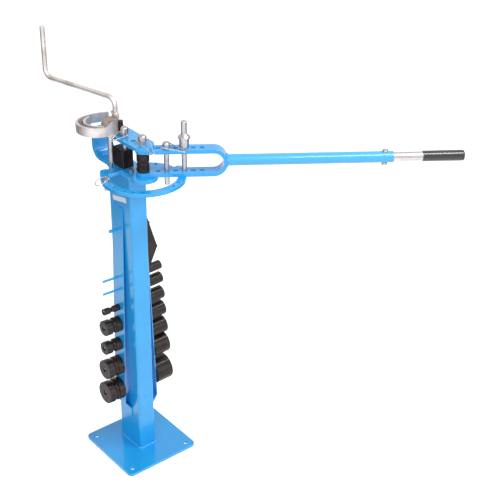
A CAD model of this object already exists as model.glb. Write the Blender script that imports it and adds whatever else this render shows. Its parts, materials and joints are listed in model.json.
"""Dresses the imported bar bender: softened edges, grooved dies, weld beads, finishes, studio.

Sizes of the part are in millimetres. Those of the studio, and all places that Blender gets,
are in metres.
"""

import json
import logging
import math
from dataclasses import dataclass, field
from enum import Enum
from typing import Sequence, Union

import bmesh
import bpy
from mathutils import Matrix, Vector


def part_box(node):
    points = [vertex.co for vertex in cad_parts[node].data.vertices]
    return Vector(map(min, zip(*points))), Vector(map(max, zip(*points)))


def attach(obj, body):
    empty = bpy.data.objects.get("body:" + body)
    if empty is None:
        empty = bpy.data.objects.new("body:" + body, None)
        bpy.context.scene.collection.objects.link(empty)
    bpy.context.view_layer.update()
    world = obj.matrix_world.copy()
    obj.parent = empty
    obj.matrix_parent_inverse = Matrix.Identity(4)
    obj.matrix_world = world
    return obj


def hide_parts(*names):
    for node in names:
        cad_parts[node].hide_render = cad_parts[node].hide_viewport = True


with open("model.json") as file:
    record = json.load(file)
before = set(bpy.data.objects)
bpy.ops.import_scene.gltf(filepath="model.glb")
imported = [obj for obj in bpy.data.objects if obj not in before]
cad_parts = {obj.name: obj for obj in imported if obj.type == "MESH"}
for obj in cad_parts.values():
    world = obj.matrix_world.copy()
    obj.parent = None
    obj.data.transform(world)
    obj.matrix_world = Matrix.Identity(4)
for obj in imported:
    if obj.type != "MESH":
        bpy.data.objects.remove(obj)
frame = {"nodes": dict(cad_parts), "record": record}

LOG = logging.getLogger("bar_bender")
MM = 0.001
MERGE = 1e-6
FLAT_ANGLE = math.radians(0.6)
SHARP_ANGLE = math.radians(35)
SEED = 7
CORNER_STEPS = 6
BEAD_SIDES = 10
BEAD_SAMPLES = 4.0  # per ripple
BEAD_WOBBLE = 0.12  # share of the radius
BEAD_OUT = 0.25  # share of the radius by which a bead's middle stands off the surface

Colour = tuple[float, float, float, float]
Point = tuple[float, float, float]
Mask = tuple[float, float]
Path = tuple[Sequence[Point], bool]
Material = bpy.types.Material


class Slot(Enum):
    """Material slots of the record."""

    PAINT = "blue_paint"
    ZINC = "zinc"
    STEEL = "raw_steel"
    OXIDE = "black_oxide"
    GRIP = "grip_plastic"


class Grain(Enum):
    """Way that the tool marks run on a bare metal surface."""

    TURNED = "turned"
    ROLLED = "rolled"


class Edge(Enum):
    """Width of a rounded edge, in millimetres."""

    FINE = 0.4
    TURNED = 0.5
    SAWN = 0.6
    CUT = 0.7
    PLATE = 0.8


def screen(red: float, green: float, blue: float) -> Colour:
    """Turns 0-255 screen values into the linear colour that sockets take.

    Args:
        red: Red, 0 to 255.
        green: Green, 0 to 255.
        blue: Blue, 0 to 255.

    Returns:
        The linear colour with full alpha.
    """
    linear = [
        c / 12.92 if c <= 0.04045 else ((c + 0.055) / 1.055) ** 2.4
        for c in (red / 255, green / 255, blue / 255)
    ]
    return (linear[0], linear[1], linear[2], 1.0)


def linked(name: str, data: bpy.types.ID) -> bpy.types.Object:
    """Links a new object at the origin that carries the data."""
    made = bpy.data.objects.new(name, data)
    bpy.context.scene.collection.objects.link(made)
    return made


def baked(name: str, work: bmesh.types.BMesh) -> bpy.types.Mesh:
    """Turns a work mesh into a mesh, and frees it.

    Args:
        name: Name of the mesh.
        work: The work mesh, not used afterwards.

    Returns:
        The mesh.
    """
    mesh = bpy.data.meshes.new(name)
    work.to_mesh(mesh)
    work.free()
    return mesh


def bridge(
    work: bmesh.types.BMesh, here: Sequence[bmesh.types.BMVert], after: Sequence[bmesh.types.BMVert]
) -> list[bmesh.types.BMFace]:
    """Quads between two closed rings with as many vertices each."""
    pairs = zip(here, [*here[1:], here[0]], [*after[1:], after[0]], after)
    return [work.faces.new(corners) for corners in pairs]


def middle(node: str) -> Point:
    """Middle of a CAD node's box, in metres."""
    low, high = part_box(node)
    return tuple((low + high) / 2)


@dataclass(frozen=True)
class Sock:
    """A shader socket that takes part in Python sums."""

    shader: "Shader"
    socket: bpy.types.NodeSocket

    def _math(self, operation: str, left: "Value", right: "Value" = 0.0) -> "Sock":
        """Math node of one operation."""
        return self.shader.node("Math", {"operation": operation}, {0: left, 1: right})

    def __add__(self, other: "Value") -> "Sock":
        """Sum."""
        return self._math("ADD", self, other)

    def __radd__(self, other: "Value") -> "Sock":
        """Sum with the number first."""
        return self._math("ADD", other, self)

    def __sub__(self, other: "Value") -> "Sock":
        """Difference."""
        return self._math("SUBTRACT", self, other)

    def __rsub__(self, other: "Value") -> "Sock":
        """Difference with the number first."""
        return self._math("SUBTRACT", other, self)

    def __mul__(self, other: "Value") -> "Sock":
        """Product."""
        return self._math("MULTIPLY", self, other)

    def __rmul__(self, other: "Value") -> "Sock":
        """Product with the number first."""
        return self._math("MULTIPLY", other, self)

    def clamp(self) -> "Sock":
        """The value held between 0 and 1."""
        return self.shader.node("Clamp", {}, {0: self})

    def above(self, low: float, high: float) -> "Sock":
        """A soft mask of where the value lies above a threshold.

        Args:
            low: Value at which the mask starts.
            high: Value at which the mask is full.

        Returns:
            The mask, 0 to 1.
        """
        return self.shader.node(
            "MapRange", {"interpolation_type": "SMOOTHSTEP"}, {0: self, 1: low, 2: high}
        )


Value = Union[Sock, float]


class Shader:
    """Node tree of one material or of the world."""

    def __init__(self, owner: Union[Material, bpy.types.World]) -> None:
        """Starts with an empty tree.

        Args:
            owner: The material or the world.
        """
        owner.use_nodes = True
        self.owner = owner
        self.tree = owner.node_tree
        self.tree.nodes.clear()

    def node(
        self, kind: str, settings: dict[str, object], inputs: dict, output: Union[int, str] = 0
    ) -> Sock:
        """Adds a node.

        Args:
            kind: Type of the node without its ShaderNode prefix.
            settings: Settings of the node, set first.
            inputs: Values or links by the input's name or number.
            output: Name or number of the output that is wanted.

        Returns:
            The output, ready for sums and links.
        """
        made = self.tree.nodes.new("ShaderNode" + kind)
        for key, value in settings.items():
            setattr(made, key, value)
        for key, value in inputs.items():
            if isinstance(value, Sock):
                self.tree.links.new(value.socket, made.inputs[key])
            else:
                made.inputs[key].default_value = value
        return Sock(self, made.outputs[output])

    def place(self) -> Sock:
        """Object coordinates."""
        return self.node("TexCoord", {}, {}, "Object")

    def stretched(self, scale: Point) -> Sock:
        """Object coordinates scaled along each axis."""
        return self.vector("MULTIPLY", self.place(), scale)

    def vector(self, operation: str, left: Union[Sock, Point], right: Union[Sock, Point]) -> Sock:
        """Adds a Vector Math node.

        Args:
            operation: Operation of the node.
            left: First vector.
            right: Second vector.

        Returns:
            The resulting vector, or the number for a dot product.
        """
        output = "Value" if operation in ("DOT_PRODUCT", "LENGTH") else "Vector"
        return self.node("VectorMath", {"operation": operation}, {0: left, 1: right}, output)

    def noise(self, scale: float, detail: float, place: Union[Sock, None] = None) -> Sock:
        """Noise over the object's own place.

        Args:
            scale: Cells per metre.
            detail: Octaves.
            place: Stretched place, or None for plain Object coordinates.

        Returns:
            The noise value, about 0.2 to 0.8.
        """
        where = place or self.place()
        return self.node("TexNoise", {}, {"Vector": where, "Scale": scale, "Detail": detail})

    def mix(self, factor: Value, low: Union[Sock, Colour], high: Union[Sock, Colour]) -> Sock:
        """Mixes two colours.

        Args:
            factor: Share of the second colour.
            low: Colour at 0.
            high: Colour at 1.

        Returns:
            The mixed colour.
        """
        return self.node("Mix", {"data_type": "RGBA"}, {0: factor, 6: low, 7: high}, 2)

    def bump(self, height: Sock, depth: float, strength: float) -> Sock:
        """Normal that follows a height.

        Args:
            height: Height, 0 to 1.
            depth: Depth of the relief in millimetres.
            strength: Share of the relief that shows.

        Returns:
            The bent normal.
        """
        return self.node("Bump", {}, {"Height": height, "Distance": depth * MM, "Strength": strength})

    def seen(self) -> Sock:
        """1 for camera, glossy and transmission rays, and 0 for the rest."""
        camera, glossy, clear = (
            self.node("LightPath", {}, {}, f"Is {kind} Ray")
            for kind in ("Camera", "Glossy", "Transmission")
        )
        return (camera + glossy + clear).clamp()

    def finish(self, surface: Sock) -> Union[Material, bpy.types.World]:
        """Links the surface to the output.

        Args:
            surface: The shader's output socket.

        Returns:
            The finished material or world.
        """
        kind = "World" if isinstance(self.owner, bpy.types.World) else "Material"
        made = self.tree.nodes.new("ShaderNodeOutput" + kind)
        self.tree.links.new(surface.socket, made.inputs["Surface"])
        return self.owner


@dataclass(frozen=True)
class Lathe:
    """Axis about which a piece was turned."""

    centre: Point
    axis: Point = (0.0, 0.0, 1.0)

    def marks(self, shader: Shader, pitch: float) -> Sock:
        """Height of the fine rings that a turning tool leaves on ends and sides.

        Args:
            shader: The shader in work.
            pitch: Distance between rings in millimetres.

        Returns:
            The height, 0 to 1.
        """
        arm = shader.vector("SUBTRACT", shader.place(), self.centre)
        along = shader.vector("DOT_PRODUCT", arm, self.axis)
        flat = shader.node("VectorMath", {"operation": "SCALE"}, {0: self.axis, "Scale": along})
        radial = shader.vector("LENGTH", shader.vector("SUBTRACT", arm, flat), (0, 0, 0))
        rings = (along + radial) * (1 / (pitch * MM))
        return shader.node("TexNoise", {"noise_dimensions": "1D"}, {"W": rings, "Detail": 3.0})


@dataclass(frozen=True)
class Finish:
    """Common ground of the finishes."""

    name: str
    slot: Slot

    def material(self, lathe: Union[Lathe, None] = None) -> Material:
        """Builds the material.

        Args:
            lathe: Axis of a turned piece, or None.

        Returns:
            The material.
        """
        raise NotImplementedError


@dataclass(frozen=True)
class PowderCoat(Finish):
    """Glossy powder coat with a slight orange peel, specks of dust and light rubs."""

    colour: Colour = screen(30, 168, 238)
    deep: Colour = screen(24, 146, 220)
    pale: Colour = screen(110, 196, 250)
    roughness: float = 0.24
    coat: float = 0.7
    coat_loss: float = 0.5
    coat_roughness: float = 0.13
    specular: float = 0.4
    cloud_cells: float = 7.0
    cloud_mask: Mask = (0.35, 0.75)
    cloud_share: float = 0.35
    cloud_dull: float = 0.12
    dust_cells: float = 900.0
    dust_mask: Mask = (0.74, 0.8)
    dust_pale: float = 0.25
    rub_cells: float = 26.0
    rub_stretch: Point = (1.0, 1.0, 0.35)
    rub_mask: Mask = (0.62, 0.8)
    rub_share: float = 0.35
    rub_pale: float = 0.3
    rub_dull: float = 0.2
    peel_cells: float = 420.0
    peel_depth: float = 0.05
    peel_strength: float = 0.5

    def material(self, lathe: Union[Lathe, None] = None) -> Material:
        """Builds the coat.

        Args:
            lathe: Not used by paint.

        Returns:
            The material.
        """
        s = Shader(bpy.data.materials.new(self.name))
        cloud = s.noise(self.cloud_cells, 3.0)
        base = s.mix(cloud.above(*self.cloud_mask) * self.cloud_share, self.colour, self.deep)
        dust = s.noise(self.dust_cells, 0.0).above(*self.dust_mask)
        rubs = s.noise(self.rub_cells, 6.0, s.stretched(self.rub_stretch))
        rub = rubs.above(*self.rub_mask) * self.rub_share
        base = s.mix((dust * self.dust_pale + rub * self.rub_pale).clamp(), base, self.pale)
        peel = s.noise(self.peel_cells, 1.0) + s.noise(self.peel_cells / 4, 1.0)
        surface = s.node("BsdfPrincipled", {}, {
            "Base Color": base,
            "Roughness": self.roughness + self.cloud_dull * cloud + self.rub_dull * rub,
            "Coat Weight": self.coat - self.coat_loss * rub,
            "Coat Roughness": self.coat_roughness,
            "Specular IOR Level": self.specular,
            "Normal": s.bump(peel, self.peel_depth, self.peel_strength),
        })
        return s.finish(surface)


@dataclass(frozen=True)
class Metal(Finish):
    """Bare or plated metal with tool marks, stains and handling wear."""

    colour: Colour = screen(206, 202, 203)
    stain: Colour = screen(158, 146, 144)
    metallic: float = 1.0
    roughness: float = 0.2
    wear: float = 0.18
    mark_pitch: float = 0.9
    mark_depth: float = 0.02
    mark_strength: float = 0.6
    mark_dull: float = 0.1
    streak_stretch: Point = (500.0, 500.0, 60.0)
    grain: Grain = Grain.ROLLED
    stain_cells: float = 45.0
    stain_mask: Mask = (0.42, 0.68)
    stain_share: float = 0.6
    spot_ratio: float = 7.0
    spot_mask: Mask = (0.58, 0.75)
    spot_share: float = 0.3

    def material(self, lathe: Union[Lathe, None] = None) -> Material:
        """Builds the metal.

        Args:
            lathe: Axis of a turned piece, or None.

        Returns:
            The material.
        """
        s = Shader(bpy.data.materials.new(self.name))
        cloud = s.noise(self.stain_cells, 5.0)
        spots = s.noise(self.stain_cells * self.spot_ratio, 3.0).above(*self.spot_mask)
        stains = (cloud.above(*self.stain_mask) + spots * self.spot_share).clamp()
        if lathe is not None and self.grain is Grain.TURNED:
            marks = lathe.marks(s, self.mark_pitch)
        else:
            marks = s.noise(1.0, 4.0, s.stretched(self.streak_stretch))
        surface = s.node("BsdfPrincipled", {}, {
            "Base Color": s.mix(stains * self.stain_share, self.colour, self.stain),
            "Metallic": self.metallic,
            "Roughness": (self.roughness + self.wear * cloud + self.mark_dull * marks).clamp(),
            "Normal": s.bump(marks, self.mark_depth, self.mark_strength),
        })
        return s.finish(surface)


@dataclass(frozen=True)
class Oxide(Finish):
    """Black oxide over turned or milled steel, oily, with brown and rubbed patches."""

    colour: Colour = screen(34, 28, 27)
    brown: Colour = screen(58, 42, 36)
    bare: Colour = screen(104, 96, 94)
    roughness: float = 0.26
    metallic: float = 0.2
    metallic_rubbed: float = 0.4
    specular: float = 0.1
    coat: float = 0.3
    coat_loss: float = 0.15
    coat_roughness: float = 0.16
    cloud_cells: float = 32.0
    cloud_mask: Mask = (0.4, 0.7)
    cloud_share: float = 0.6
    cloud_dull: float = 0.2
    rub_cells: float = 150.0
    rub_mask: Mask = (0.56, 0.78)
    rub_share: float = 0.35
    mark_cells: float = 300.0
    mark_pitch: float = 0.8
    mark_depth: float = 0.02
    mark_strength: float = 0.6
    mark_dull: float = 0.08

    def material(self, lathe: Union[Lathe, None] = None) -> Material:
        """Builds the oxide.

        Args:
            lathe: Axis of a turned piece, or None.

        Returns:
            The material.
        """
        s = Shader(bpy.data.materials.new(self.name))
        cloud = s.noise(self.cloud_cells, 4.0)
        rub = s.noise(self.rub_cells, 6.0).above(*self.rub_mask) * self.rub_share
        base = s.mix(cloud.above(*self.cloud_mask) * self.cloud_share, self.colour, self.brown)
        marks = lathe.marks(s, self.mark_pitch) if lathe else s.noise(self.mark_cells, 4.0)
        surface = s.node("BsdfPrincipled", {}, {
            "Base Color": s.mix(rub, base, self.bare),
            "Metallic": self.metallic + self.metallic_rubbed * rub,
            "Roughness": self.roughness + self.cloud_dull * cloud + self.mark_dull * marks,
            "Specular IOR Level": self.specular,
            "Coat Weight": self.coat - self.coat_loss * rub,
            "Coat Roughness": self.coat_roughness,
            "Normal": s.bump(marks, self.mark_depth, self.mark_strength),
        })
        return s.finish(surface)


@dataclass(frozen=True)
class Moulded(Finish):
    """Moulded plastic or a printed film."""

    colour: Colour = screen(34, 33, 34)
    dull: Colour = screen(58, 57, 58)
    roughness: float = 0.24
    coat: float = 0.6
    coat_loss: float = 0.5
    coat_roughness: float = 0.06
    worn_cells: float = 55.0
    worn_mask: Mask = (0.5, 0.8)
    worn_share: float = 0.5
    worn_dull: float = 0.12
    ripple: float = 0.03
    ripple_cells: float = 220.0
    ripple_strength: float = 0.5

    def material(self, lathe: Union[Lathe, None] = None) -> Material:
        """Builds the plastic.

        Args:
            lathe: Not used by plastic.

        Returns:
            The material.
        """
        s = Shader(bpy.data.materials.new(self.name))
        worn = s.noise(self.worn_cells, 6.0).above(*self.worn_mask)
        ripples = s.noise(self.ripple_cells, 2.0)
        surface = s.node("BsdfPrincipled", {}, {
            "Base Color": s.mix(worn * self.worn_share, self.colour, self.dull),
            "Roughness": self.roughness + self.worn_dull * worn,
            "Coat Weight": self.coat * (1.0 - self.coat_loss * worn),
            "Coat Roughness": self.coat_roughness,
            "Normal": s.bump(ripples, self.ripple, self.ripple_strength),
        })
        return s.finish(surface)


PAINT = PowderCoat("blue_coat", Slot.PAINT)
PAINT_EDGE = PowderCoat(
    "blue_coat_edge", Slot.PAINT, colour=screen(88, 196, 250), deep=screen(66, 178, 242)
)
PAINT_LEVER = PowderCoat(
    "blue_coat_lever", Slot.PAINT, colour=screen(70, 180, 242), deep=screen(62, 170, 236)
)
PAINT_WELD = PowderCoat(
    "blue_coat_weld", Slot.PAINT, colour=screen(50, 176, 248), peel_cells=900.0, peel_depth=0.15
)
ZINC = Metal("bright_zinc", Slot.ZINC, colour=screen(190, 187, 190), grain=Grain.TURNED)
WIRE = Metal("zinc_wire", Slot.ZINC, roughness=0.14, stain_share=0.4)
TUBE = Metal("drawn_tube", Slot.ZINC, roughness=0.12, mark_depth=0.01, stain_share=0.3)
STEEL = Metal(
    "hot_rolled_steel", Slot.STEEL, colour=screen(226, 219, 217), stain=screen(160, 150, 146),
    metallic=0.8, roughness=0.36, wear=0.16, mark_depth=0.04, stain_cells=22.0, stain_share=0.5,
)
STEEL_CUT = Metal(
    "flame_cut_steel", Slot.STEEL, colour=screen(176, 160, 152), stain=screen(118, 100, 92),
    metallic=0.6, roughness=0.5, stain_cells=60.0, stain_share=0.7,
)
OXIDE = Oxide("oxide_body", Slot.OXIDE)
OXIDE_EDGE = Oxide("oxide_edge", Slot.OXIDE, rub_share=0.9, colour=screen(60, 52, 49))
GRIP = Moulded("grip_plastic_gloss", Slot.GRIP)
LABEL = Moulded(
    "blank_label", Slot.PAINT, colour=screen(232, 236, 240), dull=screen(214, 220, 226),
    roughness=0.35, coat=0.2, ripple=0.01,
)


class Dresser:
    """Puts materials on pieces and hands pieces to the frame."""

    def __init__(self) -> None:
        """Starts with no materials."""
        self.made: dict[tuple[Finish, Union[Lathe, None]], Material] = {}
        self.body_of = {
            node: body
            for body, nodes in frame["record"]["behaviour"]["bodies"].items()
            for node in nodes
        }

    def material(self, finish: Finish, lathe: Union[Lathe, None] = None) -> Material:
        """The material of a finish, built once.

        Args:
            finish: The finish.
            lathe: Axis of a turned piece, or None.

        Returns:
            The material.
        """
        key = (finish, lathe)
        if key not in self.made:
            self.made[key] = finish.material(lathe)
        return self.made[key]

    def coat(self, node: str, finish: Finish) -> None:
        """Gives a carried-over CAD node its material.

        Args:
            node: Name of the node.
            finish: Its finish.
        """
        piece = frame["nodes"][node]
        piece.data.materials.clear()
        piece.data.materials.append(self.material(finish))
        LOG.info("%s keeps its CAD mesh, finish %s", node, finish.name)

    def soften(
        self, node: str, finish: Finish, edge: Union[Finish, None] = None,
        radius: Edge = Edge.TURNED, lathe: Union[Lathe, None] = None,
    ) -> None:
        """Replaces a CAD node by a copy of its mesh with small rounded edges.

        Args:
            node: Name of the node.
            finish: Finish of its faces.
            edge: Finish of the rounded edges, or None for the same.
            radius: Width of the rounding.
            lathe: Axis of a turned piece, or None.
        """
        work = bmesh.new()
        work.from_mesh(frame["nodes"][node].data)
        bmesh.ops.remove_doubles(work, verts=work.verts, dist=MERGE)
        bmesh.ops.dissolve_limit(work, angle_limit=FLAT_ANGLE, verts=work.verts, edges=work.edges)
        for face in work.faces:
            face.smooth = True
            face.material_index = 0
        mesh = baked(node + "_soft", work)
        if "custom_normal" in mesh.attributes:
            mesh.attributes.remove(mesh.attributes["custom_normal"])
        mesh.set_sharp_from_angle(angle=SHARP_ANGLE)
        mesh.materials.append(self.material(finish, lathe))
        mesh.materials.append(self.material(edge or finish, lathe))
        piece = linked(node + "_soft", mesh)
        bevel = piece.modifiers.new("rounding", "BEVEL")
        bevel.width = radius.value * MM
        bevel.segments = 2
        bevel.limit_method = "ANGLE"
        bevel.angle_limit = SHARP_ANGLE
        bevel.use_clamp_overlap = True
        bevel.material = 1
        bevel.miter_outer = "MITER_ARC"
        weighted = piece.modifiers.new("even_shading", "WEIGHTED_NORMAL")
        weighted.keep_sharp = False
        self.hand_over(piece, self.body_of[node], finish.slot, node)

    def hand_over(self, piece: bpy.types.Object, body: str, slot: Slot, *replaced: str) -> None:
        """Ties a finished piece to its body.

        Args:
            piece: The piece, at the origin.
            body: Name of the body that it rides on.
            slot: Material slot of the record.
            replaced: CAD nodes that the piece stands for.
        """
        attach(piece, body)
        if replaced:
            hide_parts(*replaced)
        LOG.info("%s rides on %s", piece.name, body)


class Recipe:
    """A Geometry Nodes tree with named inputs, made once and used on many pieces."""

    def __init__(self, name: str, inputs: Sequence[tuple[str, str]]) -> None:
        """Starts the tree.

        Args:
            name: Name of the tree.
            inputs: Name and socket type of each input after the geometry.
        """
        self.tree = bpy.data.node_groups.new(name, "GeometryNodeTree")
        self.sockets: dict[str, str] = {}
        for label, kind in [("Geometry", "NodeSocketGeometry"), *inputs]:
            made = self.tree.interface.new_socket(label, in_out="INPUT", socket_type=kind)
            self.sockets[label] = made.identifier
        self.tree.interface.new_socket("Geometry", in_out="OUTPUT", socket_type="NodeSocketGeometry")
        self.entry = self.tree.nodes.new("NodeGroupInput")
        self.exit = self.tree.nodes.new("NodeGroupOutput")

    def given(self, label: str) -> bpy.types.NodeSocket:
        """An input of the tree."""
        return self.entry.outputs[label]

    def node(
        self, kind: str, settings: dict[str, object], inputs: dict, output: Union[int, str] = 0
    ) -> bpy.types.NodeSocket:
        """Adds a node.

        Args:
            kind: Full type of the node.
            settings: Settings of the node, set first.
            inputs: Values or links by the input's name or number.
            output: Name or number of the output that is wanted.

        Returns:
            The output socket.
        """
        made = self.tree.nodes.new(kind)
        for key, value in settings.items():
            setattr(made, key, value)
        for key, value in inputs.items():
            if isinstance(value, bpy.types.NodeSocket):
                self.tree.links.new(value, made.inputs[key])
            else:
                made.inputs[key].default_value = value
        return made.outputs[output]

    def math(self, operation: str, *values: object) -> bpy.types.NodeSocket:
        """Adds a Math node."""
        return self.node("ShaderNodeMath", {"operation": operation}, dict(enumerate(values)))

    def close(self, geometry: bpy.types.NodeSocket, smooth: bool) -> None:
        """Ends the tree in Set Material.

        Args:
            geometry: The geometry to hand out.
            smooth: Whether its faces are shaded smooth.
        """
        real = self.node("GeometryNodeRealizeInstances", {}, {0: geometry})
        shaded = self.node("GeometryNodeSetShadeSmooth", {}, {0: real, "Shade Smooth": smooth})
        made = self.node("GeometryNodeSetMaterial", {}, {0: shaded, "Material": self.given("Material")})
        self.tree.links.new(made, self.exit.inputs[0])

    def apply(self, name: str, base: bpy.types.Mesh, values: dict[str, object]) -> bpy.types.Object:
        """Runs the tree on a base mesh and keeps the plain result.

        Args:
            name: Name of the new piece.
            base: Mesh whose edges the tree reads.
            values: Value of each named input.

        Returns:
            The piece, a plain mesh with no modifier.
        """
        carrier = linked(name + "_base", base)
        live = carrier.modifiers.new(name, "NODES")
        live.node_group = self.tree
        for label, value in values.items():
            live[self.sockets[label]] = value
        carrier.update_tag()
        graph = bpy.context.evaluated_depsgraph_get()
        mesh = bpy.data.meshes.new_from_object(carrier.evaluated_get(graph), depsgraph=graph)
        carrier.modifiers.clear()
        bpy.data.objects.remove(carrier)
        work = bmesh.new()
        work.from_mesh(mesh)
        bmesh.ops.remove_doubles(work, verts=work.verts, dist=MERGE)
        bmesh.ops.recalc_face_normals(work, faces=work.faces)
        work.to_mesh(mesh)
        work.free()
        mesh.name = name
        return linked(name, mesh)


def bead_recipe() -> Recipe:
    """Weld bead: a rippled tube along every path of the base mesh.

    Returns:
        The tree, with the bead's radius, ripple pitch, ripple height, seed and material.
    """
    recipe = Recipe("weld_bead", [
        ("Bead Radius", "NodeSocketFloat"), ("Ripple Pitch", "NodeSocketFloat"),
        ("Ripple Height", "NodeSocketFloat"), ("Seed", "NodeSocketInt"),
        ("Material", "NodeSocketMaterial"),
    ])
    curve = recipe.node("GeometryNodeMeshToCurve", {}, {0: recipe.given("Geometry")})
    step = recipe.math("DIVIDE", recipe.given("Ripple Pitch"), BEAD_SAMPLES)
    fine = recipe.node("GeometryNodeResampleCurve", {"mode": "LENGTH"}, {0: curve, "Length": step})
    along = recipe.node("GeometryNodeSplineParameter", {}, {}, "Length")
    ripples = recipe.math("DIVIDE", along, recipe.given("Ripple Pitch"))
    turn = recipe.math("MULTIPLY", ripples, math.pi)
    wave = recipe.math("ABSOLUTE", recipe.math("SINE", turn))
    loose = recipe.node(
        "FunctionNodeRandomValue", {"data_type": "FLOAT"},
        {2: -BEAD_WOBBLE, 3: BEAD_WOBBLE, "Seed": recipe.given("Seed")}, 1,
    )
    scaled = recipe.math("MULTIPLY_ADD", wave, recipe.given("Ripple Height"), 1.0)
    radius = recipe.math("ADD", scaled, loose)
    ring = recipe.node(
        "GeometryNodeCurvePrimitiveCircle", {"mode": "RADIUS"},
        {"Resolution": BEAD_SIDES, "Radius": recipe.given("Bead Radius")},
    )
    bead = recipe.node(
        "GeometryNodeCurveToMesh", {},
        {"Curve": fine, "Profile Curve": ring, "Scale": radius, "Fill Caps": True},
    )
    recipe.close(bead, True)
    return recipe


def path_mesh(name: str, paths: Sequence[Path]) -> bpy.types.Mesh:
    """Mesh of edges that follow paths.

    Args:
        name: Name of the mesh.
        paths: Points of each path in millimetres, and whether it is closed.

    Returns:
        The mesh.
    """
    points: list[Vector] = []
    edges: list[tuple[int, int]] = []
    for path, closed in paths:
        first = len(points)
        points.extend(Vector(p) * MM for p in path)
        last = len(points) - 1
        edges.extend((i, i + 1) for i in range(first, last))
        if closed:
            edges.append((last, first))
    mesh = bpy.data.meshes.new(name)
    mesh.from_pydata([tuple(p) for p in points], edges, [])
    return mesh


def rounded_loop(
    size: tuple[float, float], centre: tuple[float, float], radius: float, z: float
) -> list[Point]:
    """Points of a level rectangle with round corners.

    Args:
        size: Width along x and depth along y, in millimetres.
        centre: Middle of the rectangle, in millimetres.
        radius: Corner radius in millimetres.
        z: Height in millimetres.

    Returns:
        The points in order.
    """
    half = (size[0] / 2 - radius, size[1] / 2 - radius)
    points = []
    for quarter, (sx, sy) in enumerate(((1, 1), (-1, 1), (-1, -1), (1, -1))):
        for step in range(CORNER_STEPS + 1):
            angle = math.pi / 2 * (quarter + step / CORNER_STEPS)
            points.append((
                centre[0] + sx * half[0] + radius * math.cos(angle),
                centre[1] + sy * half[1] + radius * math.sin(angle),
                z,
            ))
    return points


@dataclass
class Welds:
    """Weld beads of one body."""

    name: str
    body: str
    radius: float
    paths: list[Path] = field(default_factory=list)
    pitch: float = 3.0
    ripple: float = 0.35

    def build(self, dresser: Dresser, recipe: Recipe) -> None:
        """Makes the beads and hands them over.

        Args:
            dresser: Gives the paint.
            recipe: The bead tree.
        """
        piece = recipe.apply(self.name, path_mesh(self.name + "_path", self.paths), {
            "Bead Radius": self.radius * MM, "Ripple Pitch": self.pitch * MM,
            "Ripple Height": self.ripple, "Seed": SEED, "Material": dresser.material(PAINT_WELD),
        })
        dresser.hand_over(piece, self.body, Slot.PAINT)


@dataclass
class Stand:
    """Base plate, post, table, bow and what is bolted to them."""

    base_top: float = 8.0
    post_width: float = 53.0
    post_depth: float = 100.0
    post_middle: float = 13.0
    post_corner: float = 5.0
    table_low: float = 898.0
    foot_bead: float = 3.2
    table_bead: float = 2.6

    def build(self, dresser: Dresser, beads: Recipe) -> None:
        """Dresses the stand.

        Args:
            dresser: Gives materials and hands over.
            beads: The bead tree.
        """
        for node, edge in (
            ("base_plate", Edge.PLATE), ("post_cap", Edge.SAWN),
            ("table_plate", Edge.CUT), ("frame_bow", Edge.PLATE),
        ):
            dresser.soften(node, PAINT, PAINT_EDGE, edge)
        dresser.coat("post_tube", PAINT)
        dresser.soften("frame_bolts", ZINC, radius=Edge.TURNED)
        dresser.soften("return_stop_bolt", ZINC, radius=Edge.FINE)
        for name, bead, face, way in (
            ("foot_weld", self.foot_bead, self.base_top, 1),
            ("table_weld", self.table_bead, self.table_low, -1),
        ):
            seam = self.seam(bead, face + way * bead * BEAD_OUT)
            Welds(name, "stand", bead, [(seam, True)]).build(dresser, beads)
        Label(side_x=-self.post_width / 2).build(dresser)

    def seam(self, bead: float, z: float) -> list[Point]:
        """Path of a bead round the post.

        Args:
            bead: Radius of the bead.
            z: Height of its middle.

        Returns:
            The points in order.
        """
        out = bead * BEAD_OUT
        size = (self.post_width + 2 * out, self.post_depth + 2 * out)
        return rounded_loop(size, (0.0, self.post_middle), self.post_corner + out, z)


@dataclass
class Label:
    """Blank film label, stuck on a little askew. Its tilt is in degrees."""

    side_x: float
    middle_y: float = 14.0
    middle_z: float = 816.0
    width: float = 65.0
    height: float = 14.0
    corner: float = 1.5
    tilt: float = -12.0
    film: float = 0.15

    def build(self, dresser: Dresser) -> None:
        """Makes the label and hands it over.

        Args:
            dresser: Gives the film and hands over.
        """
        turn = Matrix.Rotation(math.radians(self.tilt), 2)
        flat = [
            turn @ Vector((y, z))
            for y, z, _ in rounded_loop((self.width, self.height), (0.0, 0.0), self.corner, 0.0)
        ]
        work = bmesh.new()
        rings = []
        for lift in (0.0, self.film):
            places = (
                Vector((self.side_x - lift, self.middle_y + p.x, self.middle_z + p.y)) for p in flat
            )
            rings.append([work.verts.new(place * MM) for place in places])
        work.faces.new(rings[1])
        work.faces.new(list(reversed(rings[0])))
        bridge(work, *rings)
        bmesh.ops.recalc_face_normals(work, faces=work.faces)
        mesh = baked("post_label", work)
        mesh.materials.append(dresser.material(LABEL))
        dresser.hand_over(linked("post_label", mesh), "stand", Slot.PAINT)


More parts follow.
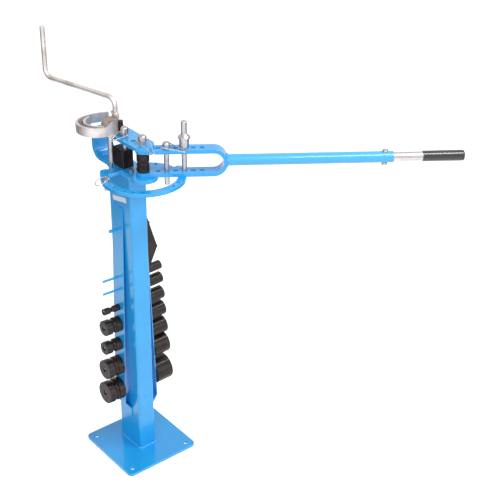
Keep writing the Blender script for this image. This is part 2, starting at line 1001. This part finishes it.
@dataclass
class GroovedDie:
    """Turned die with a wide round groove, made to the measure of its CAD node.

    The groove's depth is its base and a share of the die's diameter.
    """

    node: str
    axis: Point
    groove_width: float = 13.0
    groove_base: float = 2.0
    groove_share: float = 0.05
    edge: float = 1.0
    round_steps: int = 72
    groove_steps: int = 12

    def profile(self, half: float, bore: float, outer: float) -> list[tuple[float, float]]:
        """Half outline of the die.

        Args:
            half: Half of its length.
            bore: Radius of its bore.
            outer: Outer radius.

        Returns:
            Points of place along the axis and radius, in metres.
        """
        wide = self.groove_width * MM / 2
        deep = self.groove_base * MM + self.groove_share * 2 * outer
        edge = self.edge * MM
        points = [(-half, bore), (-half, outer - edge), (edge - half, outer)]
        for step in range(self.groove_steps + 1):
            turn = math.pi * step / self.groove_steps
            points.append((-wide * math.cos(turn), outer - deep * math.sin(turn)))
        return points + [(half - edge, outer), (half, outer - edge), (half, bore)]

    def build(self, dresser: Dresser) -> None:
        """Makes the die and hands it over.

        Args:
            dresser: Gives the finishes and hands over.
        """
        centre, axis = Vector(middle(self.node)), Vector(self.axis).normalized()
        arms = [v.co - centre for v in frame["nodes"][self.node].data.vertices]
        along = [arm.dot(axis) for arm in arms]
        away = [(arm - axis * a).length for arm, a in zip(arms, along)]
        outline = self.profile(max(along), min(away), max(away))
        up = axis.orthogonal().normalized()
        side = axis.cross(up)
        work = bmesh.new()
        rings = []
        for place, radius in outline:
            turns = (math.tau * i / self.round_steps for i in range(self.round_steps))
            rings.append([
                work.verts.new(centre + axis * place + radius * (up * math.cos(t) + side * math.sin(t)))
                for t in turns
            ])
        broken_edges = (1, len(rings) - 3)
        for number, ring in enumerate(rings):
            for face in bridge(work, ring, rings[(number + 1) % len(rings)]):
                face.smooth = True
                face.material_index = 1 if number in broken_edges else 0
        bmesh.ops.recalc_face_normals(work, faces=work.faces)
        mesh = baked(self.node + "_turned", work)
        mesh.set_sharp_from_angle(angle=SHARP_ANGLE)
        lathe = Lathe(middle(self.node), self.axis)
        mesh.materials.append(dresser.material(OXIDE, lathe))
        mesh.materials.append(dresser.material(OXIDE_EDGE, lathe))
        piece = linked(self.node + "_turned", mesh)
        dresser.hand_over(piece, dresser.body_of[self.node], Slot.OXIDE, self.node)


@dataclass
class Racks:
    """Two bent strips with pegs, and the dies that hang on them."""

    face_x: float = 26.5
    strip_top: float = 793.0
    bend_z: float = 164.0
    bend_out: float = 20.5
    strip_end: float = 101.0
    strip_width: float = 50.0
    weld_share: float = 0.3
    bead: float = 2.0
    peg_radius: float = 3.5
    peg_bead: float = 1.0
    peg_pitch: float = 2.0
    peg_steps: int = 24
    strip_out: float = 3.0
    empty_pegs: tuple[float, ...] = (576.0, 536.0)
    left_y: float = 23.0
    right_y: float = 3.0
    left_count: int = 5
    right_count: int = 7

    @property
    def lean(self) -> float:
        """Lean of the strips and the pegs, in radians."""
        return math.atan2(self.bend_out, self.strip_top - self.bend_z)

    def build(self, dresser: Dresser, beads: Recipe) -> None:
        """Dresses racks, pegs, dies and the wedge.

        Args:
            dresser: Gives materials and hands over.
            beads: The bead tree.
        """
        paths: list[Path] = []
        for side, sign, y, count in (
            ("left", -1, self.left_y, self.left_count),
            ("right", 1, self.right_y, self.right_count),
        ):
            dresser.soften(side + "_rack", PAINT, PAINT_EDGE, Edge.FINE)
            dresser.coat(side + "_pegs", PAINT)
            axis = (sign * math.cos(self.lean), 0.0, math.sin(self.lean))
            for number in range(1, count + 1):
                node = f"{side}_die_{number}"
                if side == "left":
                    GroovedDie(node, axis).build(dresser)
                else:
                    lathe = Lathe(middle(node), axis)
                    dresser.soften(node, OXIDE, OXIDE_EDGE, Edge.TURNED, lathe)
            out = self.bead * BEAD_OUT
            x = sign * (self.face_x + out)
            half = self.strip_width / 2 * self.weld_share
            for z in (self.strip_top + out, self.strip_end - out):
                paths.append(([(x, y - half, z), (x, y, z), (x, y + half, z)], False))
        dresser.soften("wedge_block", OXIDE, OXIDE_EDGE, Edge.CUT)
        Welds("rack_welds", "stand", self.bead, paths).build(dresser, beads)
        rings = [(self.peg_ring(z), True) for z in self.empty_pegs]
        Welds("peg_welds", "stand", self.peg_bead, rings, self.peg_pitch).build(dresser, beads)

    def peg_ring(self, z: float) -> list[Point]:
        """Path round the root of an empty left peg.

        Args:
            z: Height of the peg's root.

        Returns:
            The points in order.
        """
        out = self.face_x + self.strip_out + (self.strip_top - z) * math.tan(self.lean)
        points = []
        for step in range(self.peg_steps):
            angle = math.tau * step / self.peg_steps
            up = self.peg_radius * math.cos(angle)
            points.append((
                -out + up * math.sin(self.lean),
                self.left_y + self.peg_radius * math.sin(angle),
                z + up * math.cos(self.lean),
            ))
        return points


@dataclass
class Tooling:
    """Pins, bails, centre die and gripper block on the table."""

    pins: tuple[str, ...] = (
        "centre_pin", "gripper_pin", "drive_pin", "stepped_spindle", "stop_pin",
    )
    wires: tuple[str, ...] = (
        "centre_pin_bail", "gripper_pin_bail", "drive_pin_bail", "stop_pin_ring",
    )

    def build(self, dresser: Dresser) -> None:
        """Dresses the tooling.

        Args:
            dresser: Gives materials and hands over.
        """
        for node in self.pins:
            dresser.soften(node, ZINC, radius=Edge.FINE, lathe=Lathe(middle(node)))
        for node in self.wires:
            dresser.coat(node, WIRE)
        lathe = Lathe(middle("centre_die"))
        dresser.soften("centre_die", OXIDE, OXIDE_EDGE, Edge.TURNED, lathe)
        dresser.soften("gripper_block", OXIDE, OXIDE_EDGE, Edge.PLATE)


@dataclass
class Lever:
    """Yoke, tubes and grip of the bending lever."""

    turn: float = math.radians(-35.0)
    pivot: Point = (0.0, -64.0, 945.5)
    loop_middle: float = 179.0
    loop_radius: float = 37.0
    tube_radius: float = 15.0
    bead: float = 2.2
    bead_steps: int = 48

    def build(self, dresser: Dresser, beads: Recipe) -> None:
        """Dresses the lever.

        Args:
            dresser: Gives materials and hands over.
            beads: The bead tree.
        """
        dresser.soften("yoke", PAINT, PAINT_EDGE, Edge.PLATE)
        dresser.soften("lever_tube", PAINT_LEVER, PAINT_EDGE, Edge.SAWN)
        dresser.coat("inner_tube", TUBE)
        dresser.coat("hand_grip", GRIP)
        for node in ("lever_bolt", "lever_nut"):
            dresser.soften(node, ZINC, radius=Edge.FINE)
        Welds("lever_weld", "lever", self.bead, [(self.saddle(), True)]).build(dresser, beads)

    def saddle(self) -> list[Point]:
        """Path where the tube meets the round loop of the yoke.

        Returns:
            The points in order.
        """
        points = []
        out = self.bead * BEAD_OUT
        radius = self.tube_radius + out
        for step in range(self.bead_steps):
            angle = math.tau * step / self.bead_steps
            side, up = radius * math.cos(angle), radius * math.sin(angle)
            along = self.loop_middle + math.sqrt(self.loop_radius**2 - up**2) + out
            points.append((
                self.pivot[0] + along * math.cos(self.turn) - side * math.sin(self.turn),
                self.pivot[1] + along * math.sin(self.turn) + side * math.cos(self.turn),
                self.pivot[2] + up,
            ))
        return points


@dataclass
class ScrollGear:
    """Scroll former, its nose, foot, leg and bolt, and the crank. Angles are in degrees."""

    former_middle: Point = (-42.0, 78.0, 0.0)
    nose_from: float = 260.0
    nose_to: float = 313.5
    nose_inner: float = 24.0
    nose_outer: float = 56.25
    nose_foot: float = 997.6
    nose_low: float = 1022.2
    nose_high: float = 1036.0
    nose_slope: float = 0.6
    nose_steps: int = 24
    cut_upright: float = 0.5

    def build(self, dresser: Dresser) -> None:
        """Dresses the scroll gear.

        Args:
            dresser: Gives materials and hands over.
        """
        for node in ("scroll_former", "scroll_foot"):
            dresser.soften(node, STEEL, radius=Edge.FINE)
        dresser.soften("scroll_leg", ZINC, radius=Edge.FINE, lathe=Lathe(middle("scroll_leg")))
        dresser.soften("scroll_bolt", OXIDE, OXIDE_EDGE, Edge.FINE, Lathe(middle("scroll_bolt")))
        dresser.soften("scroll_nut", ZINC, radius=Edge.FINE)
        dresser.coat("crank", STEEL)
        dresser.soften("crank_cam", STEEL, radius=Edge.TURNED)
        self.nose(dresser)

    def nose(self, dresser: Dresser) -> None:
        """Solid flame-cut nose inside the former, with a ramp up to the crank's boss.

        Args:
            dresser: Gives the finish and hands over.
        """
        work = bmesh.new()
        rows = []
        for step in range(self.nose_steps + 1):
            share = step / self.nose_steps
            angle = math.radians(self.nose_from + share * (self.nose_to - self.nose_from))
            arc = self.nose_outer * (angle - math.radians(self.nose_from))
            high = min(self.nose_low + arc * self.nose_slope, self.nose_high)
            out = Vector((math.cos(angle), math.sin(angle), 0.0))
            near, far = (
                Vector(self.former_middle) + out * radius
                for radius in (self.nose_inner, self.nose_outer)
            )
            corners = ((near, self.nose_foot), (near, high), (far, high), (far, self.nose_foot))
            rows.append([work.verts.new(Vector((p.x, p.y, z)) * MM) for p, z in corners])
        for here, after in zip(rows, rows[1:]):
            bridge(work, here, after)
        work.faces.new(rows[0])
        work.faces.new(list(reversed(rows[-1])))
        bmesh.ops.recalc_face_normals(work, faces=work.faces)
        for face in work.faces:
            face.material_index = 1 if face.normal.z > self.cut_upright else 0
        mesh = baked("former_nose", work)
        mesh.set_sharp_from_angle(angle=SHARP_ANGLE)
        mesh.materials.append(dresser.material(STEEL))
        mesh.materials.append(dresser.material(STEEL_CUT))
        piece = linked("former_nose", mesh)
        dresser.hand_over(piece, dresser.body_of["scroll_former"], Slot.STEEL)


@dataclass(frozen=True)
class Lamp:
    """Soft rectangular lamp that faces the part."""

    name: str
    place: Point
    power: float
    width: float = 2.4
    height: float = 2.4
    aim: Point = (0.0, 0.0, 0.6)

    def build(self) -> None:
        """Hangs the lamp."""
        data = bpy.data.lights.new(self.name, "AREA")
        data.shape = "RECTANGLE"
        data.size = self.width
        data.size_y = self.height
        data.energy = self.power
        lamp = linked(self.name, data)
        lamp.location = self.place
        way = Vector(self.aim) - Vector(self.place)
        lamp.rotation_euler = way.to_track_quat("-Z", "Y").to_euler()


@dataclass
class Studio:
    """Floor, world, lamps, dark panels and camera. Sizes are in metres, powers in watts."""

    camera_at: Point = (-1.45998, -2.23997, 2.16600)
    look: Point = (0.55840587, 0.66760911, -0.49242356)
    right: Point = (0.77213292, -0.63530062, 0.0142785)
    lens: float = 81.08
    sensor: float = 36.0
    view_end: float = 100.0
    floor_side: float = 40.0
    floor_colour: Colour = (0.8, 0.8, 0.8, 1.0)
    floor_glow: float = 0.7
    sky: Colour = (1.0, 1.0, 1.0, 1.0)
    sky_light: float = 0.4
    flag_width: float = 2.2
    flag_height: float = 1.5
    flag_away: float = 1.5
    flag_colour: Colour = (0.12, 0.1, 0.09, 1.0)
    flag_sides: tuple[float, ...] = (-20.0, 130.0)
    lamps: tuple[Lamp, ...] = (
        Lamp("key", (-3.0, -2.4, 2.2), 58.0),
        Lamp("fill", (2.0, -3.4, 1.7), 38.0),
        Lamp("overhead", (0.6, -1.4, 3.0), 42.0, width=2.2, height=0.3),
    )

    def camera(self) -> None:
        """Makes the camera at the photograph's place."""
        data = bpy.data.cameras.new("photo_camera")
        data.lens = self.lens
        data.sensor_width = self.sensor
        data.clip_end = self.view_end
        camera = linked("photo_camera", data)
        back = -Vector(self.look).normalized()
        side = Vector(self.right).normalized()
        up = back.cross(side).normalized()
        turn = Matrix((side, up, back)).transposed().to_4x4()
        camera.matrix_world = Matrix.Translation(self.camera_at) @ turn
        bpy.context.scene.camera = camera

    def world(self) -> None:
        """World that lights softly, and shows at full strength to the camera and in gloss."""
        world = bpy.data.worlds.new("studio")
        bpy.context.scene.world = world
        s = Shader(world)
        strength = s.seen() * (1.0 - self.sky_light) + self.sky_light
        s.finish(s.node("Background", {}, {"Color": self.sky, "Strength": strength}))

    def floor(self) -> None:
        """Pale floor that reads white to the camera and keeps the shadow."""
        half = self.floor_side / 2
        mesh = bpy.data.meshes.new("floor")
        mesh.from_pydata(
            [(-half, -half, 0), (half, -half, 0), (half, half, 0), (-half, half, 0)],
            [], [(0, 1, 2, 3)],
        )
        s = Shader(bpy.data.materials.new("studio_floor"))
        diffuse = s.node("BsdfDiffuse", {}, {"Color": self.floor_colour})
        glow = s.node("Emission", {}, {"Strength": s.seen() * self.floor_glow})
        mesh.materials.append(s.finish(s.node("AddShader", {}, {0: diffuse, 1: glow})))
        linked("floor", mesh)

    def flag(self, name: str, azimuth: float) -> None:
        """Dark panel that only shows as a soft band in gloss.

        Args:
            name: Name of the panel.
            azimuth: Side on which it stands, in degrees from +X.
        """
        out = Vector((math.cos(math.radians(azimuth)), math.sin(math.radians(azimuth)), 0.0))
        side = out.cross(Vector((0, 0, 1))) * self.flag_width / 2
        foot, top = out * self.flag_away, out * self.flag_away + Vector((0, 0, self.flag_height))
        mesh = bpy.data.meshes.new(name)
        mesh.from_pydata([foot - side, foot + side, top + side, top - side], [], [(0, 1, 2, 3)])
        s = Shader(bpy.data.materials.new(name))
        mesh.materials.append(s.finish(s.node("BsdfDiffuse", {}, {"Color": self.flag_colour})))
        panel = linked(name, mesh)
        panel.visible_camera = False
        panel.visible_diffuse = False
        panel.visible_shadow = False
        panel.visible_transmission = False

    def build(self) -> None:
        """Sets up the studio."""
        bpy.context.scene.view_settings.view_transform = "Standard"
        self.camera()
        self.world()
        self.floor()
        for lamp in self.lamps:
            lamp.build()
        for number, azimuth in enumerate(self.flag_sides, 1):
            self.flag(f"dark_panel_{number}", azimuth)


def main() -> None:
    """Builds the scene."""
    logging.basicConfig(level=logging.INFO, format="%(name)s: %(message)s")
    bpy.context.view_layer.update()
    dresser = Dresser()
    beads = bead_recipe()
    Studio().build()
    Stand().build(dresser, beads)
    Racks().build(dresser, beads)
    Tooling().build(dresser)
    Lever().build(dresser, beads)
    ScrollGear().build(dresser)


if __name__ == "__main__":
    main()
